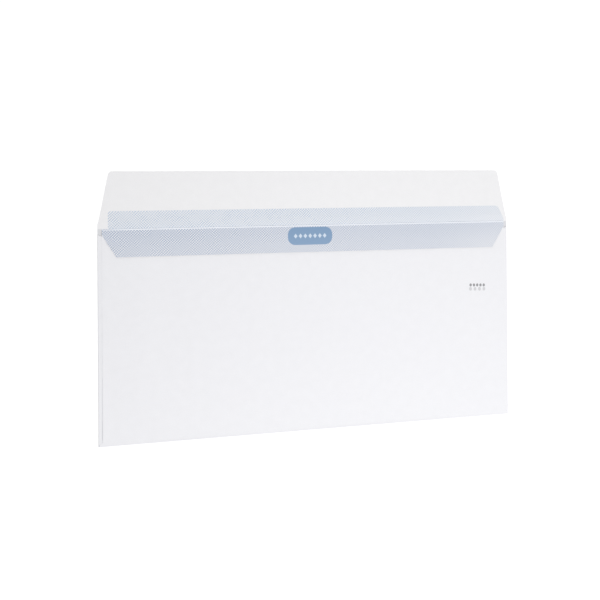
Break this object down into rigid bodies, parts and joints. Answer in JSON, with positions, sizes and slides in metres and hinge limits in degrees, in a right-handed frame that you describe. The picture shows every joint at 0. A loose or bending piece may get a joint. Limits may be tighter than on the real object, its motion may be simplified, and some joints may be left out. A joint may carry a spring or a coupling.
{
  "type": "paper envelope",
  "caption": "Long self-seal wallet envelope of white paper, empty and open, with its closing flap laid flat and its short seal flap folded outwards at the throat.",
  "frame": {"origin": "on the surface that the envelope lies on, under the middle of the open envelope's outline", "axes": "+X along the long side, to the right seen with the closing flap at the top; +Y up the panel towards the closing flap; +Z out of the back panel, away from the address side"},
  "size_m": [0.22, 0.1344, 0.0012],
  "materials": {
    "paper": "matt white writing paper with a fine pale blue hatch printed on the inside"
  },
  "bodies": {
    "root": {"envelope": "paper"}
  },
  "joints": []
}
